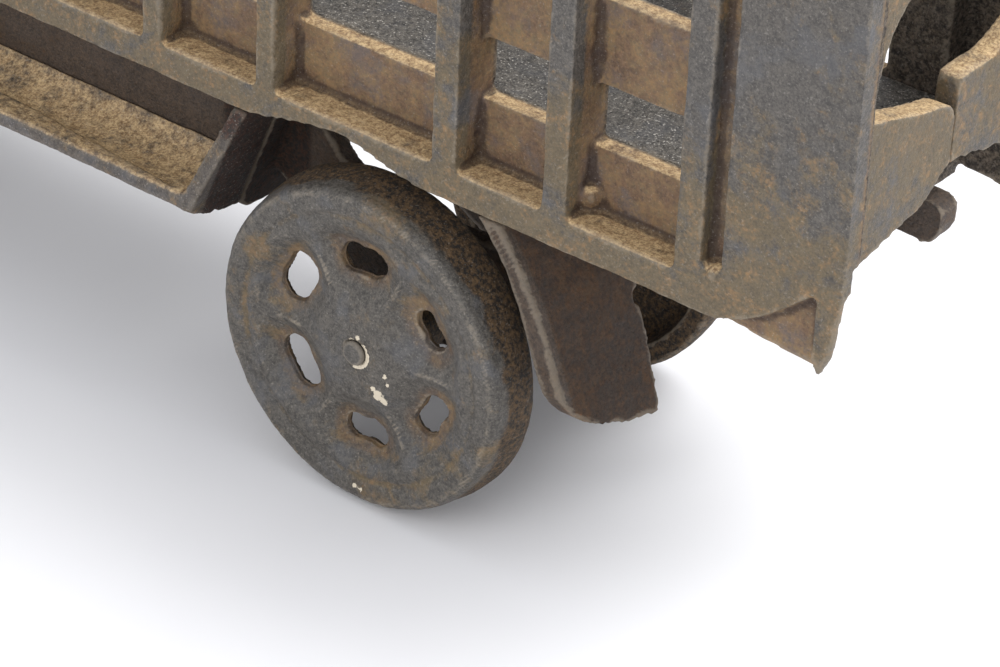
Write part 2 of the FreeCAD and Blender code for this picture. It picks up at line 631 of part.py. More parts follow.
# ---- write every node ----
def main():
    save("bed_side_near", bed_side(NEAR_TOP, NEAR_BOTTOM, RAIL_Z0))
    save("bed_side_far", far(bed_side(FAR_TOP, FAR_BOTTOM, FAR_CORE_Z)))
    save("bed_floor", bed_floor())
    save("bed_headboard", headboard())
    save("tail_lug", tail_lug())
    save("underframe_near", underframe(NEAR_GUARD_EDGE, NEAR_BULKHEAD_EDGE))
    save("underframe_far", far(underframe(FAR_GUARD_EDGE, FAR_BULKHEAD_EDGE)))
    save("chassis_plate", chassis_plate())
    board = fender_board()
    save("fender_board_near", board)
    save("fender_board_far", far(board))
    cab = cab_half()
    save("cab_near", cab)
    save("cab_far", far(cab))
    hood = hood_half()
    save("hood_near", hood)
    save("hood_far", far(hood))
    save("radiator", radiator())
    save("headlamps", headlamps())
    save("front_bumper", front_bumper())
    save("cross_pins", cross_pins())
    for end, ax in (("front", FRONT_AXLE_X), ("rear", REAR_AXLE_X)):
        near_wheel = wheel(ax)
        save("axle_" + end, axle(ax))
        save("wheel_" + end + "_near", near_wheel)
        save("wheel_" + end + "_far", far(near_wheel))


main()
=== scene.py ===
import math

import bpy
import numpy as np
from mathutils import Matrix, Vector, noise


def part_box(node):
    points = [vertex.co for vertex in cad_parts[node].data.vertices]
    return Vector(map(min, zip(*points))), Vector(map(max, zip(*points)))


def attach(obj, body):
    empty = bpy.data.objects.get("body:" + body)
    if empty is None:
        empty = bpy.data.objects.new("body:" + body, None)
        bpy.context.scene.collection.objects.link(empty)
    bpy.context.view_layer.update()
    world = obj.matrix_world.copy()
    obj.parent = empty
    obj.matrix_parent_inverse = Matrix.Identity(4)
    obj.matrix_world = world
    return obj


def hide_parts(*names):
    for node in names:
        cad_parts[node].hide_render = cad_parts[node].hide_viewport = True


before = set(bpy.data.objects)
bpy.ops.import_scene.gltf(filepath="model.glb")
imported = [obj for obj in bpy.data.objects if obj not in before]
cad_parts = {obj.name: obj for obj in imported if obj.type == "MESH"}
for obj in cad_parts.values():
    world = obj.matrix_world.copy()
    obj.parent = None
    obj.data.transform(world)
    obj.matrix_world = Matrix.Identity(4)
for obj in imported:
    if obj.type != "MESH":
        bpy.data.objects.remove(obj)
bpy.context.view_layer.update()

MM = 0.001

# Places and sizes taken from the frame
REAR_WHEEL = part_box("wheel_rear_near")
AXLE_X = (REAR_WHEEL[0].x + REAR_WHEEL[1].x) / 2
WHEEL_R = (REAR_WHEEL[1].z - REAR_WHEEL[0].z) / 2
SIDE_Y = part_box("bed_side_far")[1].y
TAIL_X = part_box("bed_side_near")[1].x

# Where the rust changes: x and z of each place, and half widths in y
TAILBOARD_X = TAIL_X - 8.0 * MM
TAILBOARD_HALF_WIDTH = 20.6 * MM
TAIL_PANEL_X = TAIL_X - 16.0 * MM
FOOT_X = TAIL_X - 18.0 * MM
FOOT_TOP_Z = 56.0 * MM
GUARD_X = AXLE_X + 14.0 * MM
BULKHEAD_MIDDLE_X = AXLE_X - 24.0 * MM
BULKHEAD_BACK_X = AXLE_X - 28.0 * MM

# Camera, at the photograph's viewing angle
CAMERA_AT = Vector((303.2, -337.0, 282.1)) * MM
CAMERA_TO = Vector((59.5, -13.6, 24.3)) * MM
CAMERA_ROLL_DEG = 2.67
CAMERA_LENS_MM = 144.2
CAMERA_SENSOR_MM = 36.0

# Studio lights: name, place, where it points, size (all in metres) and power in watts
LIGHTS = [
    ("key", (0.58, 0.45, 1.10), (0.05, 0.0, 0.03), 0.8, 15.0),
    ("fill", (0.2, -1.2, 0.8), (0.03, 0.0, 0.03), 1.0, 7.0),
]
SKY_COLOUR = (0.95, 0.96, 1.0, 1.0)
SKY_STRENGTH = 0.84
FLOOR_HALF = 3.0
PAPER_DARK = (0.84, 0.84, 0.86)
PAPER_LIGHT = (0.90, 0.90, 0.91)
PAPER_CLOUD = 60.0 * MM

# As-cast surface
SMOOTH_ROUNDS = 2
LUMP_SIZE = 5.0 * MM
GRAIN_SIZE = 1.3 * MM
BODY_ROUGH = 0.09 * MM
WHEEL_ROUGH = 0.07 * MM
AXLE_ROUGH = 0.03 * MM
WHEEL_VOXEL = 0.32 * MM
AXLE_VOXEL = 0.20 * MM

# How strongly bends in the surface count as edges (wear and painted highlights) and as hollows (dirt and
# painted shade)
EDGE_ROUNDS = 3
EDGE_GAIN = 14.0
HOLLOW_ROUNDS = 14
HOLLOW_GAIN = 1.6

# Wheel slots, as in the frame
SLOT_COUNT = 6
SLOT_START_DEG = 152.8
SLOT_RING = 11.8 * MM
SLOT_HALF_LENGTH = 1.5 * MM
SLOT_HALF_WIDTH = 2.2 * MM

# Casting of the wheel's face: how far each slot is narrowed, the dish round the slots and the shallow groove
SLOT_SHRINK = (0.1 * MM, 0.3 * MM, 1.0 * MM, 0.5 * MM, 0.5 * MM, 0.0)
SHRINK_REACH = 2.2 * MM
SHRINK_CENTRE = 0.5 * MM
FACE_DEPTH = 1.6 * MM
FACE_FADE = 1.2 * MM
DISH_REACH = 3.4 * MM
DISH_DEPTH = 1.25 * MM
GROOVE_R = 17.75 * MM
GROOVE_HALF_FLAT = 0.35 * MM
GROOVE_HALF_WIDTH = 1.0 * MM
GROOVE_FILL = 0.2 * MM
RAGGED_REACH = 1.6 * MM
RAGGED_SIZE = 3.0 * MM
RAGGED_DEPTH = 0.30 * MM

# Cream paint on the near rear wheel: an arc round the axle end, then drips with their places
# (x towards the tail and z up from the axle) and sizes in mm
ARC_R = 1.75 * MM
ARC_HALF_WIDTH = 0.75 * MM
ARC_FADE = 0.5 * MM
ARC_MIDDLE_DEG = -20.0
ARC_HALF_DEG = 75.0
DRIPS = [
    (3.6, -4.7, 1.9),
    (4.3, -5.4, 1.2),
    (2.9, -4.0, 1.0),
    (4.6, -1.6, 0.9),
    (5.0, -2.6, 0.7),
    (0.3, 2.2, 0.9),
    (-0.6, 1.6, 0.9),
    (0.4, -19.2, 0.9),
    (1.4, -19.3, 0.8),
]


# ---------------------------------------------------------------- mesh tools
def mesh_points(mesh):
    co = np.empty(len(mesh.vertices) * 3)
    mesh.vertices.foreach_get("co", co)
    return co.reshape(-1, 3)


def mesh_edges(mesh):
    edges = np.empty(len(mesh.edges) * 2, dtype=np.int64)
    mesh.edges.foreach_get("vertices", edges)
    return edges.reshape(-1, 2)


def vertex_normals(mesh):
    n = np.empty(len(mesh.vertices) * 3)
    mesh.vertices.foreach_get("normal", n)
    return n.reshape(-1, 3)


def write_positions(mesh, co):
    mesh.vertices.foreach_set("co", co.ravel())
    mesh.update()


def neighbour_mean(points, edges, rounds=1):
    """Average of each vertex's neighbours, column by column, repeated."""
    a, b = edges[:, 0], edges[:, 1]
    count = np.bincount(a, minlength=len(points)) + np.bincount(b, minlength=len(points))
    count = np.maximum(count, 1)
    columns = [points] if points.ndim == 1 else list(points.T)
    for _ in range(rounds):
        columns = [(np.bincount(a, c[b], len(c)) + np.bincount(b, c[a], len(c))) / count for c in columns]
    return columns[0] if points.ndim == 1 else np.stack(columns, 1)


def noise_at(co, size, seed, octaves=3):
    """Smooth noise of about the given feature size, one value per point, roughly -1 to 1."""
    shift = Vector((seed * 7.31, seed * 3.17, seed * 5.53))
    scale = 1.0 / size
    out = np.empty(len(co))
    for i, p in enumerate(co):
        out[i] = noise.fractal(Vector(p) * scale + shift, 0.8, 2.1, octaves)
    return out


def smooth_step(value, low, high):
    """0 up to low, rising smoothly to 1 at high."""
    t = np.clip((value - low) / (high - low), 0.0, 1.0)
    return t * t * (3.0 - 2.0 * t)


def fading(value, full, none):
    """1 up to full, falling smoothly to 0 at none."""
    return smooth_step(-value, -none, -full)


def add_attribute(mesh, name, values):
    layer = mesh.attributes.new(name, "FLOAT", "POINT")
    layer.data.foreach_set("value", values.astype(np.float32))


def remeshed(source, name, voxel):
    """A new object with the source's shape as an even fine mesh with softened edges."""
    mesh = source.data.copy()
    mesh.name = name
    obj = bpy.data.objects.new(name, mesh)
    bpy.context.scene.collection.objects.link(obj)
    grid = obj.modifiers.new("grid", "REMESH")
    grid.mode = "VOXEL"
    grid.voxel_size = voxel
    soft = obj.modifiers.new("soft", "SMOOTH")
    soft.factor = 0.5
    soft.iterations = SMOOTH_ROUNDS
    depsgraph = bpy.context.evaluated_depsgraph_get()
    final = bpy.data.meshes.new_from_object(obj.evaluated_get(depsgraph), depsgraph=depsgraph)
    obj.modifiers.clear()
    obj.data = final
    bpy.data.meshes.remove(mesh)
    final.name = name
    for polygon in final.polygons:
        polygon.use_smooth = True
    return obj


def roughen(obj, amount, seed):
    """As-cast surface: low lumps and shallow pits, only ever cut into the piece."""
    mesh = obj.data
    co = mesh_points(mesh)
    lumps = noise_at(co, LUMP_SIZE, seed, 2)
    grain = noise_at(co, GRAIN_SIZE, seed + 3, 3)
    depth = amount * (0.8 + 0.9 * lumps + 0.7 * grain)
    co = co - vertex_normals(mesh) * np.clip(depth, 0.0, 3.0 * amount)[:, None]
    write_positions(mesh, co)


def mark_edges(obj, voxel):
    """Stores how exposed (edge) or sunken (hollow) each point is, for wear with painted edge highlights and
    for dirt with painted shade.
    """
    mesh = obj.data
    co = mesh_points(mesh)
    edges = mesh_edges(mesh)
    normals = vertex_normals(mesh)
    bend = ((neighbour_mean(co, edges) - co) * normals).sum(1)
    curve = neighbour_mean(bend, edges, EDGE_ROUNDS) / voxel
    add_attribute(mesh, "edge", np.clip(-curve * EDGE_GAIN, 0.0, 1.0))
    wide = neighbour_mean(co, edges, HOLLOW_ROUNDS)
    bowl = ((wide - co) * normals).sum(1) / voxel
    add_attribute(mesh, "hollow", np.clip(bowl * HOLLOW_GAIN, 0.0, 1.0))


def show_piece(obj, node, body, material):
    obj.data.materials.clear()
    obj.data.materials.append(material)
    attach(obj, body)
    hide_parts(node)


def casting(node, body, material, voxel, seed, rough=BODY_ROUGH, marks=None):
    """The frame's node as a rough casting; marks is a function that says where its paint has rusted and where
    dirt and painted shade darken it.
    """
    obj = remeshed(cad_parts[node], node + "_cast", voxel)
    if marks is not None:
        for name, value in marks(mesh_points(obj.data)).items():
            add_attribute(obj.data, name, value)
    roughen(obj, rough, seed)
    mark_edges(obj, voxel)
    show_piece(obj, node, body, material)


# ---------------------------------------------------------------- materials
def tone(red, green, blue):
    """A colour written as 0 to 255 display values, turned into the linear values that shaders take."""
    return tuple(((c / 255 + 0.055) / 1.055) ** 2.4 for c in (red, green, blue))


def darker(colour, share):
    return tuple(share * c for c in colour)


class Nodes:
    """Short calls for building a node tree."""

    def __init__(self, material):
        self.tree = material.node_tree
        self.coords = self.tree.nodes.new("ShaderNodeTexCoord")

    def link(self, value, socket):
        if isinstance(value, bpy.types.NodeSocket):
            self.tree.links.new(value, socket)
        elif isinstance(value, (tuple, list)):
            socket.default_value = tuple(value) + (1.0,) * (len(socket.default_value) - len(value))
        else:
            socket.default_value = value

    def noise(self, size, detail=4.0, rough=0.6, distortion=0.0, shift=None):
        node = self.tree.nodes.new("ShaderNodeTexNoise")
        node.inputs["Scale"].default_value = 1.0 / size
        node.inputs["Detail"].default_value = detail
        node.inputs["Roughness"].default_value = rough
        node.inputs["Distortion"].default_value = distortion
        vector = self.coords.outputs["Object"]
        if shift is not None:
            mapping = self.tree.nodes.new("ShaderNodeMapping")
            self.tree.links.new(vector, mapping.inputs["Vector"])
            mapping.inputs["Location"].default_value = shift
            vector = mapping.outputs["Vector"]
        self.tree.links.new(vector, node.inputs["Vector"])
        return node.outputs["Fac"]

    def voronoi(self, size):
        node = self.tree.nodes.new("ShaderNodeTexVoronoi")
        node.inputs["Scale"].default_value = 1.0 / size
        self.tree.links.new(self.coords.outputs["Object"], node.inputs["Vector"])
        return node.outputs["Distance"]

    def ramp(self, value, low, high):
        """0 up to low, rising smoothly to 1 at high."""
        node = self.tree.nodes.new("ShaderNodeMapRange")
        node.interpolation_type = "SMOOTHSTEP"
        self.link(value, node.inputs["Value"])
        node.inputs["From Min"].default_value = low
        node.inputs["From Max"].default_value = high
        return node.outputs["Result"]

    def math(self, kind, a, b=0.0, clamp=False):
        node = self.tree.nodes.new("ShaderNodeMath")
        node.operation = kind
        node.use_clamp = clamp
        self.link(a, node.inputs[0])
        self.link(b, node.inputs[1])
        return node.outputs[0]

    def add(self, *parts):
        """Weighted sum of (value, weight) pairs."""
        total = None
        for value, weight in parts:
            term = self.math("MULTIPLY", value, weight)
            total = term if total is None else self.math("ADD", total, term)
        return total

    def mix(self, factor, a, b):
        node = self.tree.nodes.new("ShaderNodeMix")
        node.data_type = "RGBA"
        self.link(factor, node.inputs["Factor"])
        self.link(a, node.inputs["A"])
        self.link(b, node.inputs["B"])
        return node.outputs["Result"]

    def part_mix(self, factor, level, a, b):
        """A mix whose factor is scaled down to the given level."""
        return self.mix(self.math("MULTIPLY", factor, level), a, b)

    def attribute(self, name):
        node = self.tree.nodes.new("ShaderNodeAttribute")
        node.attribute_name = name
        return node.outputs["Fac"]

    def up(self):
        """How far the surface faces upwards, from -1 to 1."""
        node = self.tree.nodes.new("ShaderNodeSeparateXYZ")
        self.tree.links.new(self.coords.outputs["Normal"], node.inputs[0])
        return node.outputs["Z"]

    def bump(self, height, distance, strength=1.0, after=None):
        node = self.tree.nodes.new("ShaderNodeBump")
        node.inputs["Distance"].default_value = distance
        node.inputs["Strength"].default_value = strength
        self.tree.links.new(height, node.inputs["Height"])
        if after is not None:
            self.tree.links.new(after, node.inputs["Normal"])
        return node.outputs["Normal"]


PAINT = tone(98, 93, 87)
PAINT_DARK = tone(58, 55, 52)
BLUE_HAZE = tone(88, 90, 95)
OLIVE_FILM = tone(112, 98, 74)
TAN_RUST = tone(140, 110, 74)
ORANGE_RUST = tone(152, 92, 44)
RED_BROWN = tone(120, 94, 72)
# Dark colours: rust in the hollows, dirt on the treads, and painted shade inside and under the truck and on
# the wheels' inner faces
RED_BROWN_DARK = tone(50, 35, 27)
DIRT_AND_SHADE = tone(30, 26, 22)
GRIME_AND_SHADE = tone(84, 60, 46)
# Sand colours for upward faces: sand-coloured rust with painted top light
LIT_SAND = tone(210, 182, 138)
LIT_SAND_DARK = tone(138, 108, 74)
# Bare metal on worn edges, also used as painted edge highlights
BARE_EDGE_AND_HIGHLIGHT = tone(156, 144, 126)
CREAM = tone(214, 202, 180)
# Colour of the painted glints, highlights painted on bright grains
PAINTED_GLINT = tone(214, 208, 198)


class IronNodes(Nodes):
    """Nodes with the noises and the values stored on the mesh that all layers of the old paint share."""

    def __init__(self, material):
        super().__init__(material)
        self.drift = self.noise(10.0 * MM, 5.0, 0.62, 0.6)
        self.haze = self.noise(6.0 * MM, 4.0, 0.60, 0.3, (0.5, 0.2, 0.9))
        self.patch = self.noise(3.4 * MM, 6.0, 0.70, 0.4, (0.031, 0.017, 0.043))
        self.small = self.noise(0.9 * MM, 6.0, 0.74)
        self.spots = self.noise(0.60 * MM, 3.0, 0.6, 0.0, (0.2, 0.1, 0.4))
        self.fine = self.noise(0.30 * MM, 3.0, 0.75)
        self.edge = self.attribute("edge")
        self.hollow = self.attribute("hollow")
        self.film = self.attribute("film")
        self.dark = self.attribute("dark")
        self.warm = self.attribute("warm")
        self.fleck = self.attribute("fleck")


def film_cover(n):
    """Where the olive film lies: in drifting patches, thicker where the mesh says "warm"."""
    return n.add((n.drift, 0.50), (n.patch, 0.35), (n.small, 0.15), (n.hollow, 0.10), (n.warm, 0.16))


def olive_film(n, cover, colour, film, rust, level):
    shade = n.ramp(n.add((n.fine, 0.5), (n.small, 0.5)), 0.34, 0.66)
    film_tone = n.mix(shade, darker(film, 0.55), film)
    rusty = n.ramp(n.add((n.patch, 0.55), (n.spots, 0.45)), 0.50, 0.66)
    film_tone = n.mix(rusty, film_tone, rust)
    start = 0.67 - 0.26 * level
    return n.part_mix(n.ramp(cover, start, start + 0.12), 0.9, colour, film_tone)


def brown_rust(n, colour, grit, film, rust, deep, haze_level):
    """Brown and tan rust, thickest where the mesh says "film"."""
    brown_tone = n.mix(grit, darker(deep, 0.50), deep)
    brown_tone = n.part_mix(n.ramp(n.haze, 0.48, 0.62), haze_level, brown_tone, BLUE_HAZE)
    tan = n.ramp(n.add((n.patch, 0.45), (n.drift, 0.30), (n.spots, 0.25)), 0.42, 0.60)
    brown_tone = n.mix(tan, brown_tone, n.mix(grit, film, rust))
    brown = n.add((n.film, 0.50), (n.patch, 0.35), (n.drift, 0.20), (n.small, 0.15), (n.hollow, 0.10))
    return n.mix(n.ramp(brown, 0.58, 0.84), colour, brown_tone)


def orange_flecks(n, colour, rust, level):
    fleck_tone = n.mix(n.ramp(n.fine, 0.35, 0.65), ORANGE_RUST, rust)
    flecks = n.add((n.spots, 0.62), (n.drift, 0.16), (n.patch, 0.12), (n.film, 0.04), (n.edge, 0.06))
    start = 0.68 - 0.12 * level
    return n.part_mix(n.ramp(flecks, start, start + 0.08), 0.7, colour, fleck_tone)


def sand_rust_and_top_light(n, colour, level):
    """Sand-coloured rust that has gathered on upward faces, painted lighter there as painted top light."""
    sand_and_top_light_tone = n.mix(n.ramp(n.add((n.fine, 0.6), (n.small, 0.4)), 0.38, 0.62), LIT_SAND_DARK, LIT_SAND)
    # Upward faces are painted lighter: painted top light over the sand-coloured rust
    lit_top = n.ramp(n.add((n.up(), 1.0), (n.small, 0.5)), 0.62, 1.02)
    heap = n.add((n.patch, 0.6), (n.small, 0.4), (n.hollow, 0.16))
    gather = n.ramp(heap, 0.60 - 0.30 * level, 0.80 - 0.22 * level)
    return n.mix(n.math("MULTIPLY", lit_top, gather), colour, sand_and_top_light_tone)


def dirt_and_painted_shade(n, colour, grime_and_shade):
    """Dark rust with painted shade in the hollows, and a dark crust where the mesh says "dark": dirt on the
    tread, and painted shade mixed with dirt and rust inside the bed, under the bed and on the wheels' inner
    faces.
    """
    colour = n.mix(n.ramp(n.add((n.hollow, 0.8), (n.small, 0.5)), 0.70, 1.20), colour, RED_BROWN_DARK)
    crust_and_shade = n.mix(n.ramp(n.add((n.fine, 0.3), (n.small, 0.3), (n.spots, 0.4)), 0.42, 0.60), DIRT_AND_SHADE, grime_and_shade)
    return n.mix(n.ramp(n.add((n.dark, 1.0), (n.small, 0.45), (n.spots, -0.2)), 0.35, 0.85), colour, crust_and_shade)


# Worn bare edges, painted lighter also as painted edge highlights
def worn_and_lit_edges(n, colour, level):
    worn_lit_edge = n.ramp(n.add((n.edge, 0.9), (n.small, 0.6), (n.patch, 0.4)), 0.95, 1.35)
    return n.part_mix(worn_lit_edge, level, colour, BARE_EDGE_AND_HIGHLIGHT)


def cream_drips(n, colour):
    """Cream paint where the mesh says "fleck"."""
    return n.mix(n.ramp(n.add((n.fleck, 1.0), (n.spots, 0.9), (n.fine, 0.5)), 1.30, 1.42), colour, CREAM)


def painted_glints(n, colour, level):
    """Painted glints: tiny bright points painted into the colour as highlights on the grains."""
    glint_points = n.ramp(n.noise(0.28 * MM, 2.0, 0.5, 0.0, (0.3, 0.7, 0.1)), 0.60, 0.72)
    return n.part_mix(glint_points, level, colour, PAINTED_GLINT)


def worn_iron(name, paint=PAINT, paint_dark=PAINT_DARK, film=OLIVE_FILM, rust=TAN_RUST, deep=RED_BROWN,
              film_level=0.5, fleck_level=0.5, sand_and_top_light_level=0.0, edge_wear_and_highlight_level=0.3, grain=0.05 * MM, dullness=0.45,
              glint=0.0, haze_level=0.4, grime_and_shade=GRIME_AND_SHADE):
    """Old enamel on cast iron: mottled paint with a blue haze in places, under layers of rust, dirt and wear,
    with painted shade in hollows and under the bed, painted edge highlights, painted top light on the sand
    and painted glints.

    The levels say how much there is of each layer, grain how deep the pits are, and dullness how matt it is.
    """
    material = bpy.data.materials.new(name)
    material.use_nodes = True
    shader = material.node_tree.nodes["Principled BSDF"]
    n = IronNodes(material)
    cover = film_cover(n)

    grit = n.ramp(n.add((n.small, 0.5), (n.fine, 0.5)), 0.36, 0.64)
    colour = n.mix(grit, paint_dark, paint)
    colour = n.part_mix(n.ramp(n.haze, 0.50, 0.66), haze_level, colour, BLUE_HAZE)
    colour = olive_film(n, cover, colour, film, rust, film_level)
    colour = brown_rust(n, colour, grit, film, rust, deep, haze_level)
    colour = orange_flecks(n, colour, rust, fleck_level)
    # Sand-coloured rust with painted top light on upward faces
    if sand_and_top_light_level:
        colour = sand_rust_and_top_light(n, colour, sand_and_top_light_level)
    # Dark rust, dirt and painted shade in hollows and where the mesh says dark
    colour = dirt_and_painted_shade(n, colour, grime_and_shade)
    # Worn edges, also painted edge highlights
    colour = worn_and_lit_edges(n, colour, edge_wear_and_highlight_level)
    colour = cream_drips(n, colour)
    # Painted glints: highlights painted into the colour
    if glint:
        colour = painted_glints(n, colour, glint)
    n.link(colour, shader.inputs["Base Color"])

    matt = n.add((n.ramp(cover, 0.35, 0.75), 0.22), (n.small, 0.30), (n.dark, 0.30), (n.film, 0.10))
    n.link(n.math("ADD", matt, dullness - 0.16, clamp=True), shader.inputs["Roughness"])

    pits = n.ramp(n.voronoi(0.62 * MM), 0.0, 0.5)
    normal = n.bump(n.small, 3.4 * grain)
    normal = n.bump(n.add((n.fine, 0.5), (pits, 0.5)), 1.8 * grain, 1.0, normal)
    n.link(normal, shader.inputs["Normal"])
    return material


STAKE = worn_iron("worn_stake_paint", film_level=0.55, sand_and_top_light_level=1.15, fleck_level=0.6, glint=0.12,
                  grime_and_shade=tone(104, 95, 84))
CAB = worn_iron("worn_cab_paint", film_level=0.62, sand_and_top_light_level=0.6, fleck_level=0.7, glint=0.12)
BOARD = worn_iron("worn_board_paint", paint=tone(94, 86, 78), paint_dark=tone(54, 48, 43), film_level=0.6,
                  sand_and_top_light_level=0.9, fleck_level=0.7, edge_wear_and_highlight_level=0.15, glint=0.2, grime_and_shade=tone(68, 42, 30))
UNDER = worn_iron("rusty_underframe", paint=tone(86, 70, 56), paint_dark=tone(44, 35, 28),
                  film=tone(72, 55, 38), rust=tone(92, 64, 38), deep=tone(56, 41, 29), film_level=0.6,
                  fleck_level=0.6, edge_wear_and_highlight_level=0.35, dullness=0.58, grain=0.08 * MM, haze_level=0.05,
                  grime_and_shade=tone(64, 41, 28))
WHEEL = worn_iron("worn_wheel_paint", paint=tone(98, 93, 86), paint_dark=tone(50, 47, 43),
                  film=tone(112, 96, 70), rust=tone(124, 98, 68), deep=tone(90, 68, 50), film_level=0.60,
                  fleck_level=0.6, edge_wear_and_highlight_level=0.45, dullness=0.44, glint=0.12, grime_and_shade=tone(98, 76, 50))
# The bed floor gets strong painted glints (glint 0.9)
FLOOR = worn_iron("rough_cast_floor", paint=tone(130, 124, 115), paint_dark=tone(42, 40, 38),
                  film=tone(110, 100, 86), film_level=0.35, fleck_level=0.3, grain=0.16 * MM, dullness=0.38,
                  glint=0.9)
METAL = worn_iron("dull_bare_metal", paint=tone(136, 133, 130), paint_dark=tone(92, 90, 88), film_level=0.5,
                  sand_and_top_light_level=0.4, dullness=0.40)
PIN = worn_iron("peened_pin_steel", paint=tone(100, 96, 90), paint_dark=tone(62, 59, 55), film_level=0.45,
                dullness=0.40)


# ---------------------------------------------------------------- truck pieces
def side_marks(co):
    """Brown film behind the stakes, little on the tailboard, a warmer paint low down, and dirt with painted
    shade inside the bed.
    """
    x, y, z = co.T
    depth = SIDE_Y - np.abs(y)
    tailboard = (x > TAILBOARD_X) & (np.abs(y) < TAILBOARD_HALF_WIDTH)
    foot = (x > FOOT_X) & (z < FOOT_TOP_Z)
    film = np.maximum(smooth_step(depth, 1.2 * MM, 3.4 * MM), foot * smooth_step(depth, 0.7 * MM, 1.3 * MM))
    low = fading(z, 50.0 * MM, 84.0 * MM)
    tail_inside = (x > TAIL_PANEL_X) * smooth_step(depth, 2.6 * MM, 3.0 * MM)
    # The bed's inside is painted darker: dirt with painted shade
    inside = np.maximum(smooth_step(depth, 6.4 * MM, 7.2 * MM), tail_inside)
    return {
        "film": np.where(tailboard, 0.30, film),
        "warm": np.where(tailboard, 0.8, low),
        "dark": inside * ~tailboard * 0.62,
    }


def under_marks(co):
    """Brown rust over the mudguard but for its outer strip; the mudguard a little darker and the bulkhead
    much darker, with dark rust and painted shade.
    """
    x, out = co[:, 0], np.abs(co[:, 1])
    guard = smooth_step(x, GUARD_X, GUARD_X + 2.0 * MM) * fading(out, 21.4 * MM, 22.4 * MM)
    bulkhead = fading(np.abs(x - BULKHEAD_MIDDLE_X), 4.0 * MM, 6.0 * MM)
    # The dark values here are dark rust with painted shade under the bed
    return {"film": guard * 0.9, "dark": 0.36 * guard + 0.95 * bulkhead}


def board_marks(co):
    """Dark rust with painted shade on the tailward face of the bulkhead, inside its blue-grey edge strip."""
    back = smooth_step(co[:, 0], BULKHEAD_BACK_X, BULKHEAD_BACK_X + 1.0 * MM)
    inner = fading(np.abs(co[:, 1]), 24.0 * MM, 25.4 * MM)
    return {"dark": 0.95 * back * inner}


# Node, slot, material, mesh spacing in mm, and what marks its rust, dirt and painted shade
BODY_PIECES = [
    ("bed_side_near", "paint_stake", STAKE, 0.42, side_marks),
    ("bed_side_far", "paint_stake", STAKE, 0.50, side_marks),
    ("bed_floor", "cast_floor", FLOOR, 0.50, None),
    ("bed_headboard", "paint_stake", CAB, 0.55, None),
    ("tail_lug", "paint_under", UNDER, 0.30, None),
    ("underframe_near", "paint_under", UNDER, 0.42, under_marks),
    ("underframe_far", "paint_under", UNDER, 0.50, under_marks),
    ("chassis_plate", "paint_under", UNDER, 0.60, None),
    ("fender_board_near", "paint_board", BOARD, 0.36, board_marks),
    ("fender_board_far", "paint_board", BOARD, 0.45, board_marks),
    ("cab_near", "paint_cab", CAB, 0.45, None),
    ("cab_far", "paint_cab", CAB, 0.45, None),
    ("hood_near", "paint_cab", CAB, 0.38, None),
    ("hood_far", "paint_cab", CAB, 0.38, None),
    ("radiator", "grille_metal", METAL, 0.28, None),
    ("headlamps", "grille_metal", METAL, 0.25, None),
    ("front_bumper", "grille_metal", METAL, 0.35, None),
    ("cross_pins", "pin_steel", PIN, 0.22, None),
]
for index, (node, slot, material, voxel, marks) in enumerate(BODY_PIECES):
    casting(node, "truck", material, voxel * MM, seed=index + 1, marks=marks)


# ---------------------------------------------------------------- wheels and axles
def slot_angle(index):
    return math.radians(SLOT_START_DEG - index * 360.0 / SLOT_COUNT)


def slot_distance(u, v, index):
    """Distance in the wheel's plane from the edge of one slot; negative inside."""
    angle = slot_angle(index)
    radial = u * math.cos(angle) + v * math.sin(angle) - SLOT_RING
    along = -u * math.sin(angle) + v * math.cos(angle)
    end = np.maximum(np.abs(along) - SLOT_HALF_LENGTH, 0.0)
    return np.hypot(end, radial) - SLOT_HALF_WIDTH


def nearest_slot(u, v):
    """Distance from the edge of the nearest slot; negative inside."""
    return np.min([slot_distance(u, v, index) for index in range(SLOT_COUNT)], axis=0)


def paint_flecks(u, v):
    """Cream paint on the near rear wheel: an arc round the axle end, a blob below it and a few specks."""
    angle = np.degrees(np.arctan2(v, u))
    arc = smooth_step(ARC_HALF_WIDTH - np.abs(np.hypot(u, v) - ARC_R), 0.0, ARC_FADE)
    out = arc * (np.abs(angle - ARC_MIDDLE_DEG) < ARC_HALF_DEG)
    for x, z, reach in DRIPS:
        out = np.maximum(out, fading(np.hypot(u - x * MM, v - z * MM), 0.0, reach * MM))
    return out


def cast_wheel_face(co, centre, side, depth, seed):
    """Moves the wheel's points in co: dished round the slots, with uneven slots and a filled-in groove."""
    u = co[:, 0] - centre.x
    v = co[:, 2] - centre.z
    near = nearest_slot(u, v)
    face = np.clip(1.0 - (depth - FACE_DEPTH) / FACE_FADE, 0.0, 1.0)
    dish = fading(np.maximum(near, 0.0), 0.0, DISH_REACH) * face
    groove = fading(np.abs(np.hypot(u, v) - GROOVE_R), GROOVE_HALF_FLAT, GROOVE_HALF_WIDTH) * face
    co[:, 1] -= side * dish * DISH_DEPTH
    co[:, 1] += side * groove * GROOVE_FILL
    for index, shrink in enumerate(SLOT_SHRINK):
        from_x = u - SLOT_RING * math.cos(slot_angle(index))
        from_z = v - SLOT_RING * math.sin(slot_angle(index))
        reach = np.maximum(np.hypot(from_x, from_z), SHRINK_CENTRE)
        wall = np.clip(1.0 - np.abs(slot_distance(u, v, index)) / SHRINK_REACH, 0.0, 1.0)
        co[:, 0] -= wall * shrink * from_x / reach
        co[:, 2] -= wall * shrink * from_z / reach
    ragged = np.clip(1.0 - np.abs(near) / RAGGED_REACH, 0.0, 1.0)
    co[:, 0] += ragged * noise_at(co, RAGGED_SIZE, seed + 20, 2) * RAGGED_DEPTH
    co[:, 2] += ragged * noise_at(co, RAGGED_SIZE, seed + 40, 2) * RAGGED_DEPTH


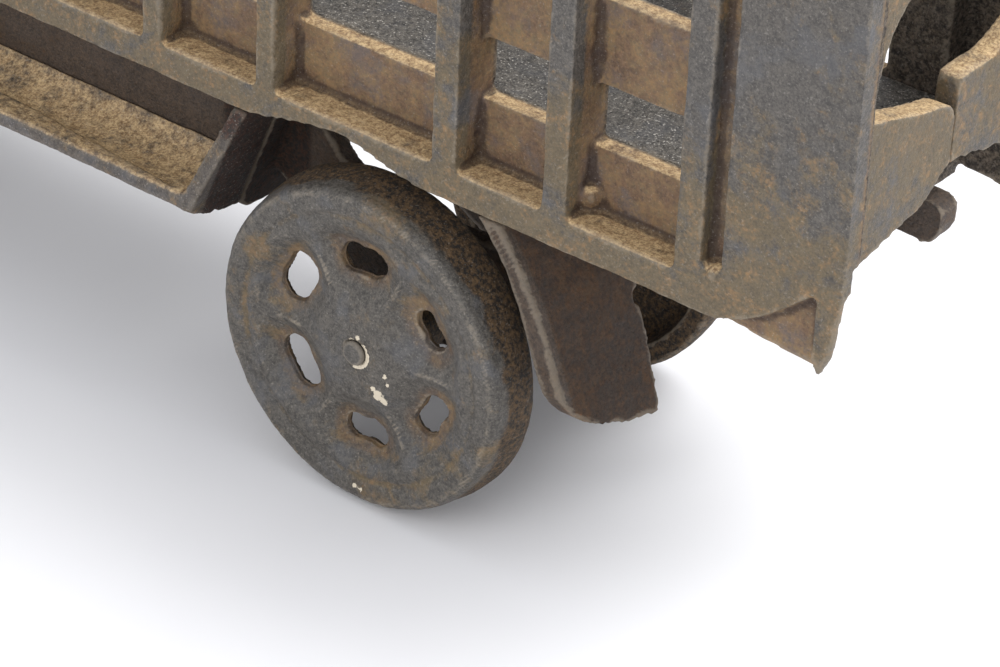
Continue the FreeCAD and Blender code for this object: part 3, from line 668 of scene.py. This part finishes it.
def mark_wheel(mesh, centre, depth, seed, flecked):
    """Rust round the slots, dirt on the tread, painted shade on the inner face and the deeper slot walls, and
    cream paint if flecked.
    """
    co = mesh_points(mesh)
    u = co[:, 0] - centre.x
    v = co[:, 2] - centre.z
    wobble = noise_at(co, LUMP_SIZE, seed + 60, 2) * 0.25 * MM
    tread = smooth_step(np.hypot(u, v) + wobble, WHEEL_R - 0.8 * MM, WHEEL_R - 0.3 * MM)
    # The wheel's back and deeper slot walls are painted dark as painted shade
    inner_face_shade = smooth_step(depth, 2.2 * MM, 3.2 * MM)
    add_attribute(mesh, "film", 0.8 * fading(nearest_slot(u, v), -0.1 * MM, 3.0 * MM))
    add_attribute(mesh, "dark", np.maximum(tread, inner_face_shade))
    if flecked:
        add_attribute(mesh, "fleck", paint_flecks(u, v) * (depth < FACE_DEPTH))


def wheel_piece(node, seed):
    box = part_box(node)
    centre = (box[0] + box[1]) / 2
    side = -1.0 if node.endswith("near") else 1.0
    outer = box[0].y if side < 0 else box[1].y
    obj = remeshed(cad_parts[node], node + "_cast", WHEEL_VOXEL)
    co = mesh_points(obj.data)
    depth = np.abs(co[:, 1] - outer)
    cast_wheel_face(co, centre, side, depth, seed)
    write_positions(obj.data, co)
    roughen(obj, WHEEL_ROUGH, seed)
    mark_edges(obj, WHEEL_VOXEL)
    mark_wheel(obj.data, centre, depth, seed, node == "wheel_rear_near")
    show_piece(obj, node, node, WHEEL)


for index, node in enumerate(sorted(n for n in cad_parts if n.startswith("wheel_"))):
    wheel_piece(node, 50 + index)
for index, node in enumerate(("axle_front", "axle_rear")):
    casting(node, node, PIN, AXLE_VOXEL, seed=70 + index, rough=AXLE_ROUGH)


# ---------------------------------------------------------------- floor, light, camera
def pale_floor():
    mesh = bpy.data.meshes.new("pale_floor")
    corners = [(x * FLOOR_HALF, y * FLOOR_HALF, 0.0) for x, y in ((-1, -1), (1, -1), (1, 1), (-1, 1))]
    mesh.from_pydata(corners, [], [(0, 1, 2, 3)])
    obj = bpy.data.objects.new("pale_floor", mesh)
    bpy.context.scene.collection.objects.link(obj)
    material = bpy.data.materials.new("pale_paper")
    material.use_nodes = True
    shader = material.node_tree.nodes["Principled BSDF"]
    n = Nodes(material)
    n.link(n.mix(n.noise(PAPER_CLOUD, 3.0), PAPER_DARK, PAPER_LIGHT), shader.inputs["Base Color"])
    shader.inputs["Roughness"].default_value = 0.95
    shader.inputs["Specular IOR Level"].default_value = 0.1
    mesh.materials.append(material)


def look_at(at, to):
    return Matrix.Translation(at) @ (Vector(to) - Vector(at)).to_track_quat("-Z", "Y").to_matrix().to_4x4()


def soft_light(name, at, to, size, power):
    data = bpy.data.lights.new(name, "AREA")
    data.shape = "SQUARE"
    data.size = size
    data.energy = power
    obj = bpy.data.objects.new(name, data)
    bpy.context.scene.collection.objects.link(obj)
    obj.matrix_world = look_at(at, to)


def sky():
    world = bpy.data.worlds.new("studio")
    bpy.context.scene.world = world
    world.use_nodes = True
    background = world.node_tree.nodes["Background"]
    background.inputs["Color"].default_value = SKY_COLOUR
    background.inputs["Strength"].default_value = SKY_STRENGTH


def camera():
    data = bpy.data.cameras.new("camera")
    data.lens = CAMERA_LENS_MM
    data.sensor_width = CAMERA_SENSOR_MM
    data.clip_start = 0.01
    obj = bpy.data.objects.new("camera", data)
    bpy.context.scene.collection.objects.link(obj)
    roll = Matrix.Rotation(math.radians(CAMERA_ROLL_DEG), 4, "Z")
    obj.matrix_world = look_at(CAMERA_AT, CAMERA_TO) @ roll
    bpy.context.scene.camera = obj


pale_floor()
sky()
for light in LIGHTS:
    soft_light(*light)
camera()
bpy.context.scene.view_settings.view_transform = "Standard"
